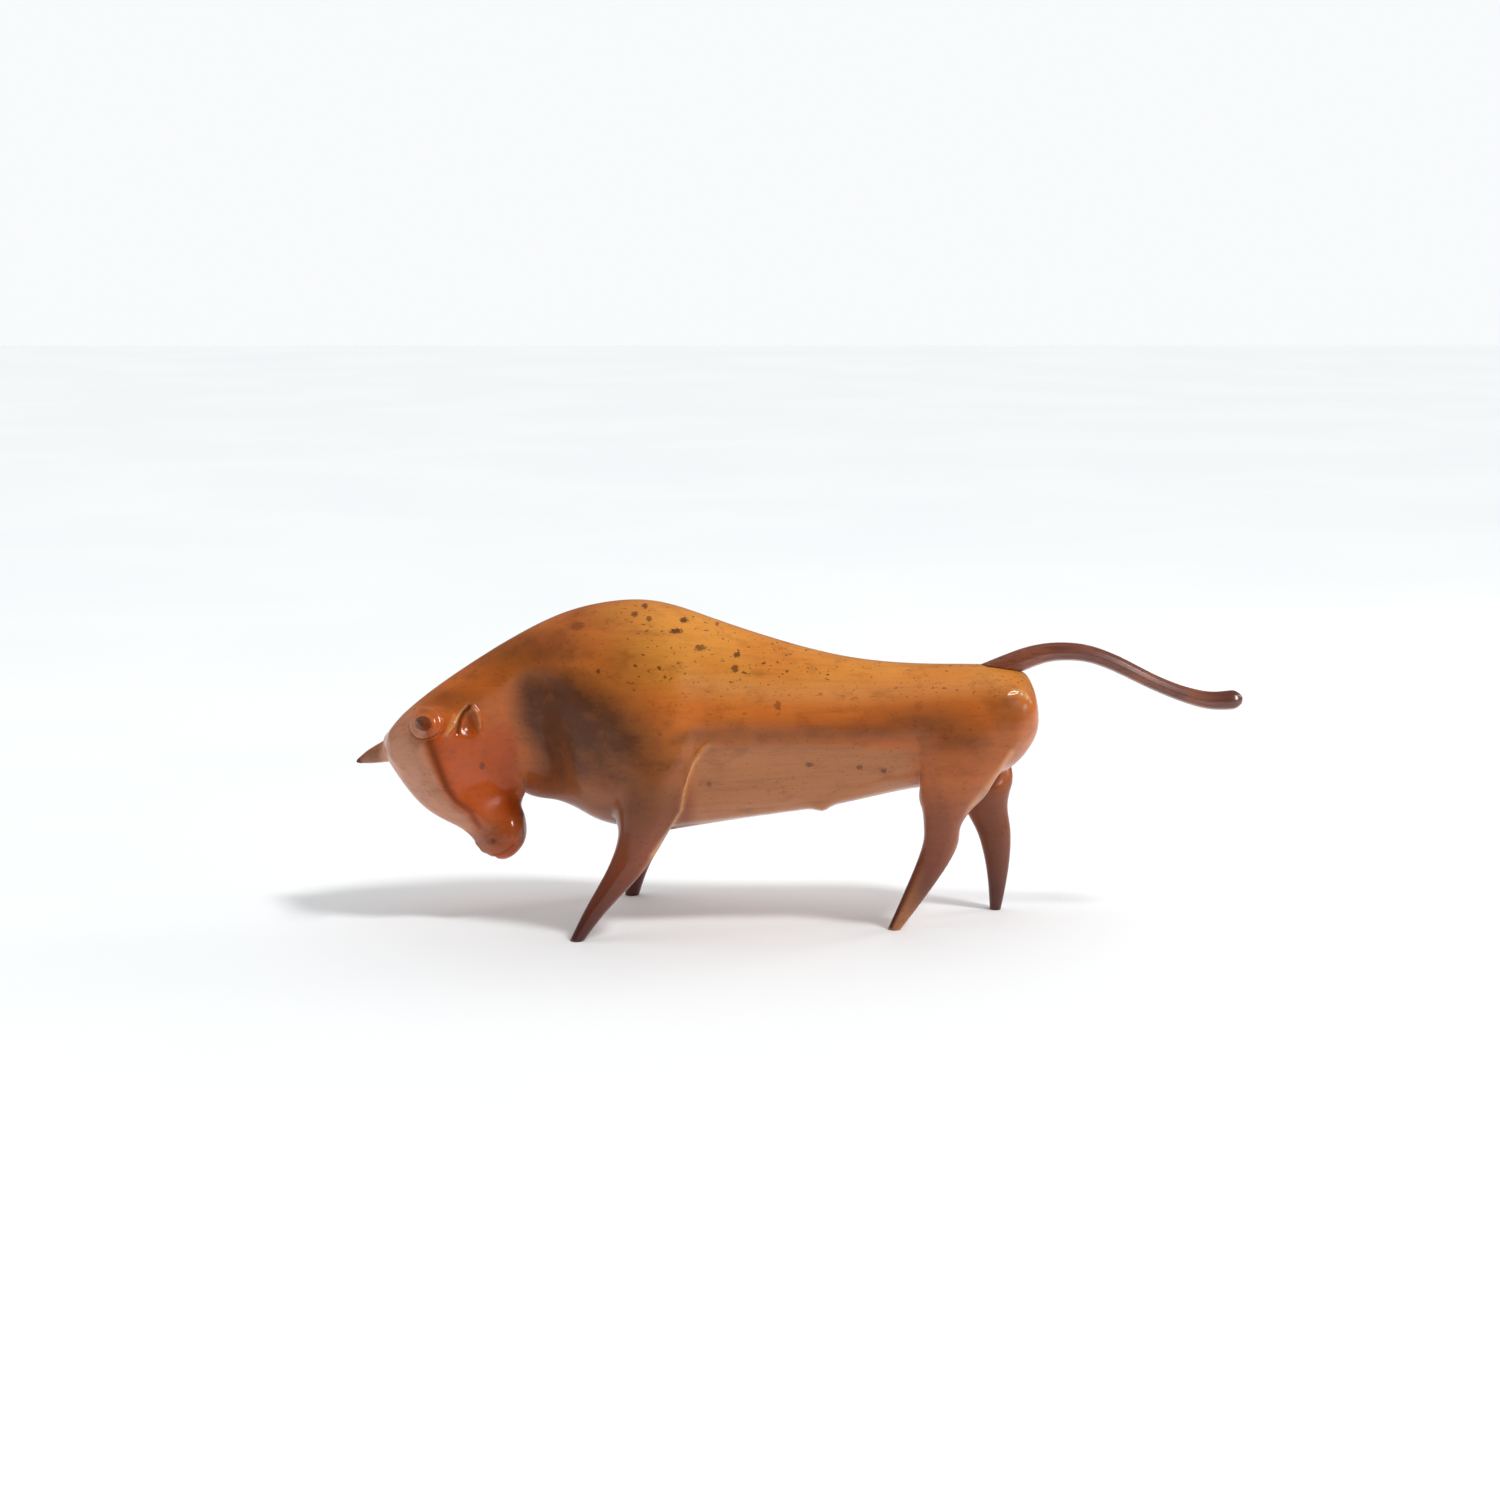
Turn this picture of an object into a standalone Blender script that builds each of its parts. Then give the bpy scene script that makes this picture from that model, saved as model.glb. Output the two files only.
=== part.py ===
"""A carved wooden bull, head lowered and turned to its left, with a separate tail let into the rump.

The bull faces -X, its left side is -Y, and it stands on Z = 0. Lengths are written in millimetres.
The carving is one smooth body. It is drawn as sections along the spine, each through its four
outermost points, with four legs and two horns grown from them. The cage is settled until
its smooth surface passes through the points that were drawn.
"""

import math

import bmesh
import bpy
from mathutils import Vector

# Driving sizes, millimetres
HEIGHT = 178.5
BODY_LENGTH = 375.0
SHOULDER_WIDTH = 96.0
LOIN_WIDTH = 66.0
RUMP_WIDTH = 72.0
FOREHEAD_WIDTH = 35.0
MUZZLE_WIDTH = 30.0
HORN_THICKNESS = 16.0
HORN_LENGTH = 28.0
FRONT_FOOT = 8.5
HIND_FOOT = 7.5
TAIL_ROOT_THICKNESS = 12.4
TAIL_WAIST_THICKNESS = 8.2
TAIL_TIP_THICKNESS = 11.0
SEAM_GAP = 0.3

# The free form is drawn in parts of its own length, from horn tip to rump, and of its own height
MM = 0.001
PARTS_LONG = 375.0
PARTS_HIGH = 175.0
PART = BODY_LENGTH / PARTS_LONG
RISE = HEIGHT / PARTS_HIGH

AROUND = 10
LEG_AROUND = 8
SMOOTH_LEVELS = 2
SETTLE_ROUNDS = 8
ELBOW_CREASE = 0.5

# The head's own directions: down the face, out of the forehead and across to its right side
HEAD_PITCH = math.radians(40.0)
HEAD_ROLL = math.radians(41.0)
LEVEL_BROW = Vector((-math.cos(HEAD_PITCH), 0.0, -math.sin(HEAD_PITCH)))
DOWN_FACE = Vector((math.sin(HEAD_PITCH), 0.0, -math.cos(HEAD_PITCH)))
FROM_BROW = LEVEL_BROW * math.cos(HEAD_ROLL) - Vector((0, math.sin(HEAD_ROLL), 0))
ACROSS = LEVEL_BROW * math.sin(HEAD_ROLL) + Vector((0, math.cos(HEAD_ROLL), 0))
HORN_LINE = Vector((-214.0, -5.0, 99.0))


def place(x, y, z):
    """A point of the drawing at its real size."""
    return Vector((x * PART, y * PART, z * RISE))


def on_head(down, out, across=0.0):
    """A point of the drawing from the middle of the line between the horns."""
    return HORN_LINE + DOWN_FACE * down + FROM_BROW * out + ACROSS * across


class Section:
    """A closed ring through four outermost points: top, near side, bottom and far side."""

    def __init__(self, top, near, bottom, far, top_full=1.0, bottom_full=1.0):
        self.top = place(*top)
        self.near = place(*near)
        self.bottom = place(*bottom)
        self.far = place(*far)
        self.top_full = top_full
        self.bottom_full = bottom_full

    def points(self):
        centre = self.near.lerp(self.far, 0.5)
        ring = []
        for k in range(AROUND):
            angle = 2 * math.pi * k / AROUND
            upper = math.cos(angle) > 0
            up, full = (self.top, self.top_full) if upper else (self.bottom, self.bottom_full)
            side = self.near if math.sin(angle) > 0 else self.far
            along = abs(math.cos(angle)) ** full
            across = abs(math.sin(angle)) ** full
            ring.append(centre + (up - centre) * along + (side - centre) * across)
        return ring


def torso(top, bottom, width, widest, middle=3.0, bottom_full=1.0):
    """A section square to the body. top, bottom and widest are (x, z)."""
    half = width / 2 / PART
    return Section(
        (top[0], middle, top[1]),
        (widest[0], middle - half, widest[1]),
        (bottom[0], middle, bottom[1]),
        (widest[0], middle + half, widest[1]),
        1.0,
        bottom_full,
    )


def face(brow, cheek, width, jaw, top_full, bottom_full):
    """A section of the head. brow, cheek and jaw are (how far down the face, how far out of it)."""
    half = width / 2 / PART
    near, far = on_head(*cheek, -half), on_head(*cheek, half)
    return Section(on_head(*brow), near, on_head(*jaw), far, top_full, bottom_full)


def spine():
    """The sections from the rump to the muzzle, named so that limbs can grow from them."""
    return {
        "rump": torso((126, 132.5), (123, 92), 0.6 * RUMP_WIDTH, (130, 113), 0),
        "thigh rear": torso((114, 139), (108, 80), 0.96 * RUMP_WIDTH, (118, 112), 0),
        "thigh": torso((92, 140.5), (86, 74), RUMP_WIDTH, (92, 110), 0),
        "thigh front": torso((62, 140.8), (62, 73), 0.97 * RUMP_WIDTH, (62, 108), 1),
        "loin": torso((24, 144.6), (22, 64), 1.05 * LOIN_WIDTH, (24, 107), 2),
        "ribs": torso((-16, 154.8), (-20, 57.5), 0.79 * SHOULDER_WIDTH, (-18, 108), 3),
        "elbow": torso((-49, 166), (-72, 49.5), 0.9 * SHOULDER_WIDTH, (-55, 103), 3),
        "shoulder": torso((-78, 174.5), (-84, 49), SHOULDER_WIDTH, (-76, 104), 3),
        "chest": torso((-106, 174), (-106, 54), 0.95 * SHOULDER_WIDTH, (-101, 104), 3),
        "breast": Section((-133, 3, 166.5), (-119, -33, 107), (-121, 3, 61), (-124, 42, 105)),
        "neck": Section((-160, 3, 152.5), (-138, -11, 104), (-134, 5, 65.5), (-154, 42, 102)),
        "nape": Section((-188, 2, 135.5), (-157, -8, 110), (-143.5, 9, 66.2), (-184, 38, 95)),
        "poll": face((-11, 5), (24, -26), 1.6 * FOREHEAD_WIDTH, (61, -31, -10), 0.65, 1.1),
        "forehead": face((14, 12.5), (25, -18), 1.24 * FOREHEAD_WIDTH, (63.5, -29.5, -8), 0.65, 0.9),
        "bridge": face((34, 14.5), (37, -17), 0.84 * FOREHEAD_WIDTH, (65.5, -28, -6), 0.45, 0.9),
        "stop": face((57, 6), (60, -12), 0.74 * MUZZLE_WIDTH, (68, -25, -3), 0.6, 0.9),
        "muzzle": face((70, 7), (71, -8.4), 1.03 * MUZZLE_WIDTH, (71.5, -24), 1.0, 1.0),
        "lips": face((81, 2.5), (81, -7.5), 0.68 * MUZZLE_WIDTH, (80, -18), 1.0, 1.0),
    }


class Level:
    """A ring round a leg at one height: its front and rear edges, its middle, its width and its tilt."""

    def __init__(self, height, front, rear, middle, width, tilt=0.0, lean=0.0):
        self.height = height
        self.front = front
        self.rear = rear
        self.middle = middle
        self.half = width / 2 / PART
        self.tilt = tilt
        self.lean = lean

    def points(self, count):
        """From the outer rear corner forwards round the leg."""
        side = -1 if self.middle < 0 else 1
        centre = (self.front + self.rear) / 2
        depth = (self.rear - self.front) / 2
        ring = []
        for k in range(count):
            angle = 2 * math.pi * (k / count + 1 / LEG_AROUND)
            out = math.sin(angle)
            raised = self.tilt * out
            x = centre + depth * math.cos(angle) + self.lean * raised
            ring.append(place(x, self.middle + side * self.half * out, self.height + raised))
        return ring


def legs():
    """Each leg: the three spine sections that it grows from, and its levels down to the foot."""
    front_roots = ("elbow", "shoulder", "chest")
    hind_roots = ("thigh rear", "thigh", "thigh front")
    return {
        "left front": (
            front_roots,
            [
                Level(68, -99, -65.5, -37, 29, 15, 0.25),
                Level(42, -102.5, -80, -41, 18),
                Level(20, -114.5, -100, -43, 13),
                Level(0, -124.5, -116.5, -44.5, FRONT_FOOT),
            ],
        ),
        "right front": (
            front_roots,
            [
                Level(68, -94, -62, 43, 29, 15, 0.25),
                Level(42, -93, -71, 48, 18),
                Level(20, -97, -82.5, 52.5, 13),
                Level(0, -98.5, -90, 55.5, FRONT_FOOT),
            ],
        ),
        "left hind": (
            hind_roots,
            [
                Level(75, 64, 102, -24, 26, 5),
                Level(58, 67, 88, -24, 17),
                Level(45, 66, 86, -23.5, 14),
                Level(22, 57.5, 72, -23, 10.5),
                Level(0, 48.3, 55.7, -22.5, HIND_FOOT),
            ],
        ),
        "right hind": (
            hind_roots,
            [
                Level(77, 85, 120.5, 24, 26, 5),
                Level(58, 93, 118, 23, 17),
                Level(44, 100, 120, 22.5, 14),
                Level(22, 106, 118.8, 21.5, 10.5),
                Level(0, 108.3, 114.8, 21, HIND_FOOT),
            ],
        ),
    }


def smoothed(obj):
    smooth = obj.modifiers.new("Smooth", "SUBSURF")
    smooth.levels = SMOOTH_LEVELS
    smooth.render_levels = SMOOTH_LEVELS
    smooth.use_limit_surface = True


class Cage:
    """The coarse mesh: its points, its faces and the edges that stay sharp."""

    def __init__(self):
        self.points = []
        self.faces = {}
        self.sharp = {}

    def add(self, points):
        first = len(self.points)
        self.points += points
        return list(range(first, len(self.points)))

    def skin(self, one, other):
        """Four-sided faces between two rings of the same count."""
        count = len(one)
        for k in range(count):
            n = (k + 1) % count
            self.faces[(one[k], other[k])] = (one[k], one[n], other[n], other[k])

    def halve(self, one, other):
        """Five-sided faces between a ring and one of half its count."""
        count = len(one)
        for k in range(0, count, 2):
            low, next_low = other[k // 2], other[(k // 2 + 1) % len(other)]
            self.faces[(one[k], low)] = (one[k], one[k + 1], one[(k + 2) % count], next_low, low)

    def drop(self, one, other, first, last):
        """Takes out the faces between two rings from place first to place last."""
        for k in range(first, last):
            del self.faces[(one[k], other[k])]

    def close(self, ring, point):
        """Fills a ring of an even count with four-sided faces round one point."""
        (middle,) = self.add([point])
        count = len(ring)
        for k in range(0, count, 2):
            self.faces[(ring[k], middle)] = (ring[k], ring[k + 1], ring[(k + 2) % count], middle)

    def fill(self, ring):
        self.faces[(ring[0], ring[2])] = tuple(ring)

    def sharpen(self, chain, amount):
        for pair in zip(chain, chain[1:]):
            self.sharp[frozenset(pair)] = amount

    def mesh(self, name):
        mesh = bpy.data.meshes.new(name)
        mesh.from_pydata([p * MM for p in self.points], [], list(self.faces.values()))
        crease = mesh.attributes.new("crease_edge", "FLOAT", "EDGE")
        for edge in mesh.edges:
            crease.data[edge.index].value = self.sharp.get(frozenset(edge.vertices), 0.0)
        turned = bmesh.new()
        turned.from_mesh(mesh)
        bmesh.ops.recalc_face_normals(turned, faces=turned.faces)
        turned.to_mesh(mesh)
        turned.free()
        mesh.shade_smooth()
        return mesh


    def settle(self):
        """Moves the points until the smooth surface passes through where they were drawn."""
        drawn = [p * MM for p in self.points]
        trial = bpy.data.objects.new("trial", self.mesh("trial"))
        bpy.context.scene.collection.objects.link(trial)
        smoothed(trial)
        for _ in range(SETTLE_ROUNDS):
            bpy.context.view_layer.update()
            graph = bpy.context.evaluated_depsgraph_get()
            shown = trial.evaluated_get(graph).to_mesh()
            misses = [want - shown.vertices[k].co for k, want in enumerate(drawn)]
            trial.evaluated_get(graph).to_mesh_clear()
            for vertex, miss in zip(trial.data.vertices, misses):
                vertex.co += miss
            trial.data.update()
        self.points = [vertex.co / MM for vertex in trial.data.vertices]
        bpy.data.objects.remove(trial, do_unlink=True)


def grow_leg(cage, rings, left, front_leg, roots, levels):
    """Opens the body between three sections and leads the leg's rings down to a flat foot."""
    rear, middle, front = (rings[name] for name in roots)
    outer, between, inner = (2, 3, 4) if left else (8, 7, 6)
    low, high = min(outer, inner), max(outer, inner)
    cage.drop(rear, middle, low, high)
    cage.drop(middle, front, low, high)
    ring = [rear[outer], middle[outer], front[outer], front[between]]
    ring += [front[inner], middle[inner], rear[inner], rear[between]]
    if front_leg:
        cage.sharpen([rear[between], rear[inner]], ELBOW_CREASE)
    collar = cage.add(levels[0].points(LEG_AROUND))
    cage.skin(ring, collar)
    ring = cage.add(levels[1].points(LEG_AROUND // 2))
    cage.halve(collar, ring)
    for level in levels[2:]:
        lower = cage.add(level.points(LEG_AROUND // 2))
        cage.skin(ring, lower)
        ring = lower
    cage.sharpen(ring + ring[:1], 1.0)
    cage.fill(ring)


# Each horn: where it stands on the head, which way it points, and the four corners of its seat,
# all as (down the face, out of the forehead, across to the bull's right)
HORNS = {
    "left": (
        (-1.9, -5.2, -20.4),
        (-0.17, 0.56, -0.82),
        ((-11.5, -5.5, -14.5), (2, -18.5, -27), (10, -7, -24), (2, 8, -14)),
    ),
    "right": (
        (-1, -2.5, 18),
        (-0.26, 0.4, 0.88),
        ((-11, -4, 13.5), (3, -16, 25.5), (11, -5, 22), (3, 10, 12.5)),
    ),
}


def grow_horn(cage, seat, aim, corners):
    """Leads four corners of the head out to a horn's tip."""
    out = (DOWN_FACE * aim[0] + FROM_BROW * aim[1] + ACROSS * aim[2]).normalized()
    base = place(*on_head(*seat))
    first = cage.points[corners[0]] - base
    first = (first - out * first.dot(out)).normalized()
    second = out.cross(first)
    if second.dot(cage.points[corners[1]] - base) < 0:
        second = -second
    ring = corners
    for along, thick in ((0.08, 1.0), (0.48, 0.66), (0.86, 0.26)):
        middle = base + out * HORN_LENGTH * along
        reach = HORN_THICKNESS / 2 * thick
        corner, next_corner = first * reach, second * reach
        fresh = cage.add([middle + corner, middle + next_corner, middle - corner, middle - next_corner])
        cage.skin(ring, fresh)
        ring = fresh
    (tip,) = cage.add([base + out * HORN_LENGTH])
    for a, b in zip(ring, ring[1:] + ring[:1]):
        cage.faces[(a, tip)] = (a, b, tip)


def bull():
    """The body with its legs and horns grown from it, settled."""
    cage = Cage()
    rings = {name: cage.add(section.points()) for name, section in spine().items()}
    names = list(rings)
    for one, other in zip(names, names[1:]):
        cage.skin(rings[one], rings[other])
    cage.close(rings[names[0]], place(128, 0, 112))
    cage.close(rings[names[-1]], place(*on_head(84.5, -7)))
    for name, (roots, levels) in legs().items():
        grow_leg(cage, rings, name.startswith("left"), name.endswith("front"), roots, levels)
    poll, brow = rings["poll"], rings["forehead"]
    for name, first, last in (("left", 1, 2), ("right", 9, 8)):
        seat, aim, spots = HORNS[name]
        corners = [poll[first], poll[last], brow[last], brow[first]]
        for corner, spot in zip(corners, spots):
            cage.points[corner] = place(*on_head(*spot))
        cage.drop(poll, brow, min(first, last), max(first, last))
        grow_horn(cage, seat, aim, corners)
    cage.settle()
    return cage.mesh("bull")


def wood(name, colour, roughness):
    material = bpy.data.materials.new(name)
    material.use_nodes = True
    shader = material.node_tree.nodes["Principled BSDF"]
    shader.inputs["Base Color"].default_value = (*colour, 1.0)
    shader.inputs["Roughness"].default_value = roughness
    shader.inputs["Metallic"].default_value = 0.0
    return material


def build_bull(home):
    body = bpy.data.objects.new("bull", bull())
    home.objects.link(body)
    body.data.materials.append(wood("golden brown wood", (0.42, 0.16, 0.045), 0.35))
    smoothed(body)
    return body


# The tail: (x, z) of its middle line and its thickness
TAIL_LINE = (
    (88, 129.5, TAIL_ROOT_THICKNESS),
    (101, 134.6, TAIL_ROOT_THICKNESS),
    (112, 139, TAIL_ROOT_THICKNESS),
    (124, 143.7, 0.97 * TAIL_ROOT_THICKNESS),
    (136, 146.9, 0.84 * TAIL_ROOT_THICKNESS),
    (149.5, 147.2, 0.79 * TAIL_ROOT_THICKNESS),
    (161, 145.2, 0.73 * TAIL_ROOT_THICKNESS),
    (174.5, 140, 1.06 * TAIL_WAIST_THICKNESS),
    (190.5, 132, TAIL_WAIST_THICKNESS),
    (207.5, 124.9, 1.02 * TAIL_WAIST_THICKNESS),
    (224.5, 120.4, 0.89 * TAIL_TIP_THICKNESS),
    (237.5, 120.9, TAIL_TIP_THICKNESS),
)
TAIL_STEPS = 2


def smooth_line(points, steps):
    """Catmull-Rom through the points, with steps to each stretch."""
    line = []
    padded = [2 * points[0] - points[1], *points, 2 * points[-1] - points[-2]]
    for a, b, c, d in zip(padded, padded[1:], padded[2:], padded[3:]):
        for k in range(steps):
            t = k / steps
            straight = 2 * b + (c - a) * t
            bent = (2 * a - 5 * b + 4 * c - d) * t**2 + (3 * b - a - 3 * c + d) * t**3
            line.append(0.5 * (straight + bent))
    line.append(points[-1])
    return line


def tail_stations():
    """Places and radii along the tail, with a round end."""
    drawn = [place(x, 0, z).to_4d() for x, z, _ in TAIL_LINE]
    for point, (_, _, thick) in zip(drawn, TAIL_LINE):
        point.w = thick / 2
    stations = [(p.to_3d(), p.w) for p in (q.copy() for q in smooth_line(drawn, TAIL_STEPS))]
    end, radius = stations[-1]
    ahead = (end - stations[-2][0]).normalized()
    for angle in (30, 60, 80):
        turned = math.radians(angle)
        stations.append((end + ahead * radius * math.sin(turned), radius * math.cos(turned)))
    return stations


def build_tail(home, cutters, bull):
    """A rod with its front end cut to the rump's surface, a seam's gap away from it."""
    line = bpy.data.curves.new("tail line", "CURVE")
    line.dimensions = "3D"
    line.bevel_depth = MM
    line.bevel_resolution = 2
    line.use_fill_caps = True
    stations = tail_stations()
    spline = line.splines.new("POLY")
    spline.points.add(len(stations) - 1)
    for point, (where, radius) in zip(spline.points, stations):
        point.co = (*(where * MM), 1.0)
        point.radius = radius
    rod = bpy.data.objects.new("tail rod", line)
    home.objects.link(rod)
    bpy.context.view_layer.update()
    mesh = bpy.data.meshes.new_from_object(rod.evaluated_get(bpy.context.evaluated_depsgraph_get()))
    bpy.data.objects.remove(rod, do_unlink=True)
    welded = bmesh.new()
    welded.from_mesh(mesh)
    bmesh.ops.remove_doubles(welded, verts=welded.verts, dist=0.001 * MM)
    bmesh.ops.recalc_face_normals(welded, faces=welded.faces)
    welded.to_mesh(mesh)
    welded.free()
    mesh.name = "tail"
    mesh.shade_smooth()
    tail = bpy.data.objects.new("tail", mesh)
    home.objects.link(tail)
    tail.data.materials.clear()
    tail.data.materials.append(wood("dark red wood", (0.16, 0.05, 0.025), 0.35))

    cutter = bpy.data.objects.new("rump with the seam's gap", bull.data.copy())
    cutters.objects.link(cutter)
    cutter.hide_render = True
    cutter.display_type = "WIRE"
    smoothed(cutter)
    swell = cutter.modifiers.new("Seam gap", "DISPLACE")
    swell.strength = SEAM_GAP * MM
    swell.mid_level = 0.0
    cut = tail.modifiers.new("Seat on the rump", "BOOLEAN")
    cut.object = cutter
    return tail


def clear_scene():
    for obj in list(bpy.data.objects):
        bpy.data.objects.remove(obj, do_unlink=True)


def collection(name):
    made = bpy.data.collections.new(name)
    bpy.context.scene.collection.children.link(made)
    return made


def stand_at_origin(shown, moved):
    """Moves everything so that the middle of the underside is the origin."""
    bpy.context.view_layer.update()
    graph = bpy.context.evaluated_depsgraph_get()
    corners = [Vector(c) for obj in shown for c in obj.evaluated_get(graph).bound_box]
    low = [min(c[axis] for c in corners) for axis in range(3)]
    high = [max(c[axis] for c in corners) for axis in range(3)]
    shift = Vector((-(low[0] + high[0]) / 2, -(low[1] + high[1]) / 2, -low[2]))
    for obj in moved:
        obj.location += shift


def main():
    clear_scene()
    home = collection("bull sculpture")
    cutters = collection("cutters")
    bull = build_bull(home)
    tail = build_tail(home, cutters, bull)
    stand_at_origin([bull, tail], [bull, tail, *cutters.objects])


main()
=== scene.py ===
"""The bull sculpture's looks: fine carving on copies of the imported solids, and polished wood.

Places are in the row's frame, metres, +Z up. The bull faces -X and its left side is -Y.
"""

import math

import bmesh
import bpy
import numpy as np
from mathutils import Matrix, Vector
from mathutils.bvhtree import BVHTree


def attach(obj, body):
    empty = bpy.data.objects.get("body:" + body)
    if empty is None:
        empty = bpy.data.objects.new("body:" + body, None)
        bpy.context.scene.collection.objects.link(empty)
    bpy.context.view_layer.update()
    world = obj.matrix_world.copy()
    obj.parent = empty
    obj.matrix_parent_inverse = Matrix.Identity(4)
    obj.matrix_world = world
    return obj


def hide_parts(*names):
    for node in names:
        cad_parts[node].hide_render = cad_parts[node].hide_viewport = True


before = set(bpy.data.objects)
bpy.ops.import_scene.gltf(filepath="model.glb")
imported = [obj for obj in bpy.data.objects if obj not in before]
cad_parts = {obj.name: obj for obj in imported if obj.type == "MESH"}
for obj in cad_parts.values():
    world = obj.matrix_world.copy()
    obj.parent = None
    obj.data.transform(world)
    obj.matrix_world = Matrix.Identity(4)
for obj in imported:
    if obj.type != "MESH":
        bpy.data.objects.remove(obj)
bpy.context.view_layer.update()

# The camera, as it stood for the photo
CAMERA_AT = Vector((-0.0356, -1.485, 0.3934))
CAMERA_DOWN = math.radians(11.36)
CAMERA_RIGHT = math.radians(0.44)
LENS = 66.1
SENSOR = 36.0
PICTURE = 1500

# Where the light comes from, and how strong it is
SUN_FROM = Vector((0.5, -0.3, 0.8))
SUN_POWER = 1.6
SUN_SOFTNESS = math.radians(10)
GLINT_FROM = Vector((0.75, -0.48, 0.456))
GLINT_POWER = 20.0
GLINT_SIZE = 0.5
RIM_FROM = Vector((0.85, 0.35, 0.40))
RIM_POWER = 3.0
RIM_SIZE = 0.4
LAMP_DISTANCE = 1.5
LAMP_TARGET = Vector((0.0, 0.0, 0.09))
SKY = 0.95
SKY_COLOUR = (0.97, 0.99, 1.0, 1.0)
ROOM = 0.02
ROOM_EDGE = (0.1, 0.7)
SKY_IN_GLOSS = 0.14
BACKGROUND = 0.97

MM = 0.001

# How finely the solids are copied: rounds of smoothing, and the angle that stays a sharp edge
SMOOTH_LEVELS = 2
SHARP_EDGE = math.radians(38)
WELD = 1e-6
FLAT_PAIR = math.radians(30)
SQUARE_PAIR = math.radians(70)

# Passes that give the carving more points: how near to it in pixels, and how long an edge stays whole
FINER_NEAR_CARVING = ((9, 1.0 * MM), (5, 0.7 * MM))

# The fold at the jaw is evened out up to the first distance from it in pixels, and fades by the second
FOLD_REACH = (12, 25)
FOLD_ROUNDS = 260
FOLD_STEP = 0.6

# How far to the front the neck turns into the head, and where a leg's darker wood begins and is full
NECK = (0.146, 0.156)
LEG_HEIGHTS = (0.098, 0.06)
FOOT_SOLE = 0.0005


def make_camera():
    data = bpy.data.cameras.new("camera")
    data.lens = LENS
    data.sensor_width = SENSOR
    camera = bpy.data.objects.new("camera", data)
    camera.location = CAMERA_AT
    camera.rotation_euler = (math.pi / 2 - CAMERA_DOWN, 0.0, -CAMERA_RIGHT)
    bpy.context.scene.collection.objects.link(camera)
    bpy.context.scene.camera = camera
    bpy.context.view_layer.update()
    return camera


CAMERA = make_camera()
TO_CAMERA = np.array(CAMERA.matrix_world.inverted())
PICTURE_SCALE = PICTURE * LENS / SENSOR


def in_picture(points):
    """Where points (metres, one row each) are seen in the photo, in its pixels."""
    seen = points @ TO_CAMERA[:3, :3].T + TO_CAMERA[:3, 3]
    across = PICTURE / 2 + PICTURE_SCALE * seen[:, 0] / -seen[:, 2]
    down = PICTURE / 2 - PICTURE_SCALE * seen[:, 1] / -seen[:, 2]
    return across, down


def ray_to(across, down):
    """The direction from the camera to a pixel of the photo."""
    flat = Vector(((across - PICTURE / 2) / PICTURE_SCALE, (PICTURE / 2 - down) / PICTURE_SCALE, -1.0))
    return (CAMERA.matrix_world.to_3x3() @ flat).normalized()


# The head's own directions and the middle of the line between the horns
HEAD_PITCH = math.radians(40.0)
HEAD_ROLL = math.radians(41.0)
LEVEL_BROW = np.array((-math.cos(HEAD_PITCH), 0.0, -math.sin(HEAD_PITCH)))
DOWN_FACE = np.array((math.sin(HEAD_PITCH), 0.0, -math.cos(HEAD_PITCH)))
FROM_BROW = LEVEL_BROW * math.cos(HEAD_ROLL) - np.array((0, math.sin(HEAD_ROLL), 0))
ACROSS = LEVEL_BROW * math.sin(HEAD_ROLL) + np.array((0, math.cos(HEAD_ROLL), 0))
HORN_LINE = np.array((-0.21138, -0.0080, 0.10098))
BODY_MIDDLE = -0.0015


# Small shapes of the relief, all functions of a distance in millimetres or pixels


def smooth_step(value, low, high):
    t = np.clip((value - low) / (high - low), 0.0, 1.0)
    return t * t * (3 - 2 * t)


def hill(distance, width):
    return np.exp(-((distance / width) ** 2))


def from_line(across, down, line):
    """Distance from a line of pixels, negative on its left going along it, and how far along, 0 to 1."""
    best = np.full(across.shape, 1e9)
    signed = np.zeros(across.shape)
    along = np.zeros(across.shape)
    lengths = [math.dist(a, b) for a, b in zip(line, line[1:])]
    passed = 0.0
    for (ax, ay), (bx, by), length in zip(line, line[1:], lengths):
        ux, uy = (bx - ax) / length, (by - ay) / length
        t = np.clip((across - ax) * ux + (down - ay) * uy, 0.0, length)
        dx, dy = across - ax - ux * t, down - ay - uy * t
        distance = np.hypot(dx, dy)
        nearer = distance < best
        best = np.where(nearer, distance, best)
        side = np.sign(ux * (down - ay) - uy * (across - ax))
        signed = np.where(nearer, distance * side, signed)
        along = np.where(nearer, (passed + t) / sum(lengths), along)
        passed += length
    return signed, along


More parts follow.
